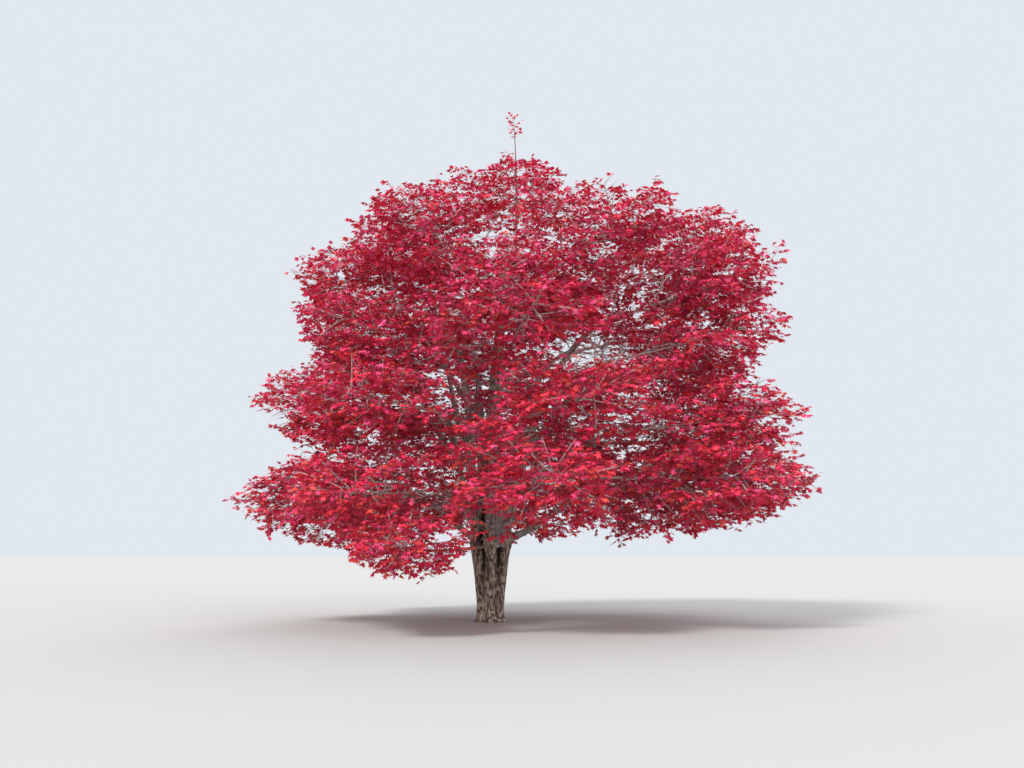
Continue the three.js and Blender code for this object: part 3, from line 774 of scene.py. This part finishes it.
def make_trunk():
    """The trunk and leader: the solid's lobes with sharp furrows between them, ridges and bark plates, with
    painted shade in the furrows and between the ridges.
    """
    sides, level = TRUNK_MESH["sides"], TRUNK_MESH["level"]
    below = np.linspace(0, level, TRUNK_MESH["below"])
    above = np.linspace(level, TRUNK["height"], TRUNK_MESH["above"])
    heights = np.concatenate([below, above[1:]])
    line = trunk_point(heights / TRUNK["height"])
    angle = 2 * math.pi * np.arange(sides) / sides
    z, azimuth = np.meshgrid(heights, angle, indexing="ij")
    radius = trunk_radius(z, azimuth)
    around_trunk = np.stack([np.cos(azimuth), np.sin(azimuth), z], axis=-1)
    wander = FURROWS["wander"] * noise(around_trunk * np.array([0.8, 0.8, 0.9]), 3, 2)
    from_lobe = azimuth + wander - math.radians(TRUNK["lobe_azimuth"])
    valley = 0.5 + 0.5 * np.cos(TRUNK["lobes"] * from_lobe + math.pi)
    fade = np.exp(-(((z - FURROWS["middle"]) / FURROWS["half"]) ** 4))
    furrow = valley ** FURROWS["narrow"] * (np.clip((z - FURROWS["start"]) / FURROWS["rise"], 0, 1) * fade)
    broad = noise(around_trunk * np.array([4.5, 4.5, 1.6]), 5, 2)
    ridge = 1 - np.abs(noise(around_trunk * np.array([9, 9, 2.2]), 8, 3))
    size = np.clip(radius / 0.35, 0.25, 1)
    bumps = BUMPS["broad"] * broad * size + BUMPS["ridge"] * (ridge - 0.75) * size
    points = tube_points(line, radius * (1 - FURROWS["depth"] * furrow) + bumps, sides)
    points[..., 2] = np.where(z == 0, 0, np.maximum(points[..., 2], 0))
    top = len(points) * sides
    fan = [(top - sides + i, top - sides + (i + 1) % sides, top) for i in range(sides)]
    foot = [((i + 1) % sides, i, top + 1) for i in range(sides)]
    rest = np.concatenate([points.reshape(-1, 3), line[-1:] + UP * 0.01, line[:1]])
    piece = mesh_object("trunk_bark", rest, grid_faces(len(heights), sides), fan + foot, [TRUNK_BARK])
    # Painted shade: the bark gets darker in the furrows and in the hollows between the ridges.
    relief = np.clip(1 - furrow * 1.25, 0, 1) * np.clip(0.6 + 0.4 * (ridge + 0.1), 0, 1)
    set_relief_shade(piece, np.concatenate([relief.ravel(), [1, 1]]))
    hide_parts("trunk")
    return piece


def bough_tier(node):
    """The tier whose boughs a node is one of, or None."""
    names = {"main_limb": "upper", "middle_bough": "middle", "low_bough": "low", "skirt_bough": "skirt"}
    return names.get(node.rsplit("_", 1)[0])


def make_bough_pieces():
    """One piece of bark for the boughs of each tier, with painted shade where their surface dips."""
    pieces = []
    for tier in [tier for tier in TIERS if "bough" in tier]:
        points, quads, triangles, relief, count = [], [], [], [], 0
        mesh = THICK_BOUGH if tier["bough"]["base"] > THICK_BOUGH["over"] else THIN_BOUGH
        sides = mesh["sides"]
        for bough in [bough for bough in boughs if bough["mass"]["tier"] is tier]:
            rings = int(bough["span"] / mesh["spacing"])
            shares = np.linspace(0, 1, rings)
            line = bezier(bough["points"], shares)
            radius = bough_radius(bough, shares)
            azimuth = 0 * shares + bough["mass"]["azimuth"]
            ways = [np.stack([shares * bough["span"] * 0.9, 0 * shares + 3 * axis, azimuth], axis=-1)
                    for axis in range(3)]
            sway = np.stack([noise(way, 21, 2) for way in ways], axis=-1)
            line = line + sway * (BOUGH_SWAY * radius * np.sin(math.pi * shares))[:, None]
            ring = np.arange(sides) * 2 * math.pi / sides
            length, angle = np.meshgrid(shares * bough["span"], ring, indexing="ij")
            spot = np.stack([np.cos(angle), np.sin(angle), length * 1.4], axis=-1)
            rough = noise(spot * 1.7 + bough["mass"]["azimuth"], 31, 3)
            shape = tube_points(line, radius[:, None] * (1 + BOUGH_ROUGH * rough), sides)
            quads.append(grid_faces(rings, sides) + count)
            last = count + rings * sides
            triangles += [(last - sides + i, last - sides + (i + 1) % sides, last) for i in range(sides)]
            points += [shape.reshape(-1, 3), line[-1:] + bough["mass"]["out"] * 0.02]
            # Painted shade: the bark is darker where the bough's surface dips.
            relief += [np.clip(0.75 + 0.35 * rough, 0, 1).ravel(), [1]]
            count = last + 1
        piece = mesh_object(f"boughs_{tier['name']}", np.concatenate(points), np.concatenate(quads), triangles,
                            [BOUGH_BARK])
        set_relief_shade(piece, np.concatenate(relief))
        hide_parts(*[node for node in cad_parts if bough_tier(node) == tier["name"]])
        pieces.append(piece)
    return pieces


def tapered(twigs, start, end, rings, sides):
    """Points and faces of many twigs that taper from their start radii to a point, as quads and triangles."""
    u = unit(np.cross(UP, twigs.heading) + 1e-6)
    w = np.cross(twigs.heading, u)
    angle = 2 * math.pi * np.arange(sides) / sides
    ring = u[:, None] * np.cos(angle)[None, :, None] + w[:, None] * np.sin(angle)[None, :, None]
    rows = []
    for share in np.linspace(0, 1, rings + 1)[:-1]:
        radius = mix(start, end, share)[:, None, None]
        rows.append(twigs.point(share)[:, None] + ring * radius)
    tips = twigs.point(1.0)[:, None]
    points = np.concatenate(rows + [tips], axis=1)
    each = rings * sides + 1
    base = (np.arange(len(twigs)) * each)[:, None, None]
    quads = (grid_faces(rings, sides)[None] + base).reshape(-1, 4)
    last = (rings - 1) * sides
    fan = np.array([(last + i, last + (i + 1) % sides, each - 1) for i in range(sides)])
    return points.reshape(-1, 3), quads, (fan[None] + base).reshape(-1, 3)


def open_share(points):
    """The share of leafy twigs that stay at each point, fewer on a line from the camera to an opening."""
    eye = np.array(CAMERA["place"])
    sight = points - eye
    seen = eye + sight * (-eye[1] / sight[:, 1])[:, None]
    share = np.ones(len(points))
    for across, up, half_width, half_height, left in OPENINGS:
        off_centre = np.hypot((seen[:, 0] - across) / half_width, (seen[:, 2] - up) / half_height)
        closed = np.clip((off_centre - OPENING_EDGE["from"]) / OPENING_EDGE["over"], 0, 1)
        share = np.minimum(share, mix(left, 1, closed))
    return share


def dealt_tints(heights, draw):
    """A leaf tint for each spray, by odds that change with its height."""
    low, high = TINT_LEVELS
    share = np.clip((heights - low) / (high - low), 0, 1)[:, None]
    odds = np.array([[foot, top] for name, tint, foot, top in LEAF_TINTS], dtype=float)
    weights = odds[:, 0] * (1 - share) + odds[:, 1] * share
    steps = np.cumsum(weights, axis=1) / weights.sum(axis=1, keepdims=True)
    return (draw.random(len(heights))[:, None] > steps).sum(axis=1)


def grow_twigs(draw):
    """The masses' stems, the side twigs, the second twigs and the leafy third twigs."""
    starts, headings = [np.array([stem[key] for stem in stems]) for key in ("start", "heading")]
    lengths = np.array([stem["length"] + STEM["spray"] for stem in stems])
    shoots = grown(np.arange(len(stems)), starts, headings, lengths, BOW["stem"], draw)
    first = joined(first_twigs(draw), bough_twigs(draw))
    second = joined(side_twigs(first, SECOND, draw, BARE["first"]),
                    side_twigs(shoots, SECOND, draw, BARE["first"]))
    leader = leader_twigs(draw)
    on_leader = side_twigs(leader, {**SECOND, **ANYWHERE}, draw, BARE["leader"])
    first = joined(first, leader)
    third = joined(side_twigs(second, THIRD, draw, BARE["second"]),
                   side_twigs(joined(first, shoots), THIRD, draw, BARE["ends"]),
                   side_twigs(on_leader, {**THIRD, **ANYWHERE}, draw, BARE["second"]))
    third = third.keep(noise(third.start * np.array(GAPS["scale"]), GAPS["seed"], 2) > GAPS["level"])
    third = third.keep(draw.random(len(third)) < open_share(third.start))
    sprigs = shoots.keep(np.array([mass["sprig"] > 0 for mass in masses]))
    third = joined(third, side_twigs(sprigs, SPRIG_TWIG, draw, BARE["sprig"]))
    third.tint = dealt_tints(third.start[:, 2], draw)
    return shoots, first, joined(second, on_leader), third


def foliage_groups():
    """Names and the masses that go under them: each lone mass, and the two halves of each tier."""
    lone = [number for number, mass in enumerate(masses) if mass["tier"] is None]
    groups = [(masses[number]["node"].removeprefix("foliage_"), [number]) for number in lone]
    for tier in TIERS:
        members = [number for number, mass in enumerate(masses) if mass["tier"] is tier]
        half = len(members) // 2
        groups += [(f"{tier['name']}_back", members[:half]), (f"{tier['name']}_front", members[half:])]
    return groups


def leaf_piece(name, leaves, members):
    mine = np.isin(leaves["owner"], members)
    leaves = {key: column[mine] for key, column in leaves.items()}
    frame_axes = np.stack([leaves["across"], leaves["heading"], leaves["normal"]], axis=1)
    frame_axes = frame_axes * leaves["size"][:, None, None]
    points = leaves["place"][:, None] + np.einsum("vk,nki->nvi", LEAF, frame_axes)
    faces = (LEAF_FACES[None] + len(LEAF) * np.arange(len(points))[:, None, None]).reshape(-1, 4)
    slots = np.repeat(leaves["tint"], len(LEAF_FACES))
    return mesh_object(f"leaves_{name}", points.reshape(-1, 3), faces, [], LEAF_MATERIALS, slots,
                       smooth=False)


def twig_piece(name, batches, members):
    """The stems and twigs of some masses. A batch is twigs, their radii, rings, sides and material slot."""
    points, quads, triangles, placed = [], [], [], 0
    for twigs, (start, end), rings, sides, slot in batches:
        mine = np.isin(twigs.owner, members)
        start = np.broadcast_to(start, len(twigs))[mine]
        batch = tapered(twigs.keep(mine), start, end, rings, sides)
        points.append(batch[0])
        quads.append((batch[1] + placed, np.full(len(batch[1]), slot)))
        triangles.append((batch[2] + placed, np.full(len(batch[2]), slot)))
        placed += len(batch[0])
    quads, quad_slot = [np.concatenate(column) for column in zip(*quads)]
    triangles, triangle_slot = [np.concatenate(column) for column in zip(*triangles)]
    return mesh_object(f"twigs_{name}", np.concatenate(points), quads, triangles, TWIG_TINTS, quad_slot,
                       triangle_slot)


def make_foliage():
    """A piece of leaves and a piece of twigs for each group of masses."""
    draw = np.random.default_rng(7)
    shoots, first, second, third = grow_twigs(draw)
    leaves = leaves_on(third, draw)
    stem_radii = np.array([stem["radius"] for stem in stems])
    pale, brown, grey = range(len(TWIG_TINTS))
    pieces = []
    for name, members in foliage_groups():
        nodes = [masses[number]["node"] for number in members]
        piece = leaf_piece(name, leaves, members)
        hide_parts(*nodes)
        pieces.append(piece)
        stem_slot = pale if masses[members[0]]["tier"] else grey
        batches = [
            (shoots, (stem_radii, STEM_END), 10, 7, stem_slot), (first, RADII["first"], 5, 4, pale),
            (second, RADII["second"], 2, 3, brown), (third, RADII["third"], 1, 3, brown),
        ]
        piece = twig_piece(name, batches, members)
        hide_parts(*nodes)
        pieces.append(piece)
    return pieces


def make_camera():
    camera = bpy.data.objects.new("camera", bpy.data.cameras.new("camera"))
    camera.location = CAMERA["place"]
    camera.rotation_euler = (math.radians(90 + CAMERA["pitch"]), 0, 0)
    camera.data.sensor_width = 36
    camera.data.lens = CAMERA["lens"]
    camera.data.clip_end = 2000
    bpy.context.scene.collection.objects.link(camera)
    bpy.context.scene.camera = camera


# The soft lamps: name, azimuth, elevation, strength and how wide each seems.
LAMPS = [("key", 234, 42, 2.5, 14), ("fill", 300, 14, 1.4, 60), ("back", 80, 50, 0.9, 40)]
FLOOR_HALF = 400


def make_studio():
    """A plain pale floor, a soft key light from the left and a pale surround."""
    corners = [(x * FLOOR_HALF, y * FLOOR_HALF, 0) for x, y in [(-1, -1), (1, -1), (1, 1), (-1, 1)]]
    pale = plain_material("floor_pale", colour(186, 184, 180), 0.9, 0.2)
    floor = mesh_object("floor", corners, [(0, 1, 2, 3)], [], [pale])
    for name, azimuth, elevation, strength, softness in LAMPS:
        lamp = bpy.data.objects.new(name, bpy.data.lights.new(name, "SUN"))
        lamp.data.energy = strength
        lamp.data.angle = math.radians(softness)
        lamp.location = [30 * value for value in polar(azimuth, elevation)]
        lamp.rotation_euler = (math.radians(90 - elevation), 0, math.radians(azimuth + 90))
        bpy.context.scene.collection.objects.link(lamp)
    world = bpy.data.worlds.new("surround")
    world.use_nodes = True
    background = world.node_tree.nodes["Background"]
    background.inputs["Color"].default_value = colour(226, 232, 240)
    background.inputs["Strength"].default_value = 1.0
    bpy.context.scene.world = world
    bpy.context.scene.view_settings.view_transform = "Standard"


make_camera()
make_studio()
pieces = [make_trunk(), *make_bough_pieces()]
pieces += make_foliage()
for piece in pieces:
    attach(piece, "root")
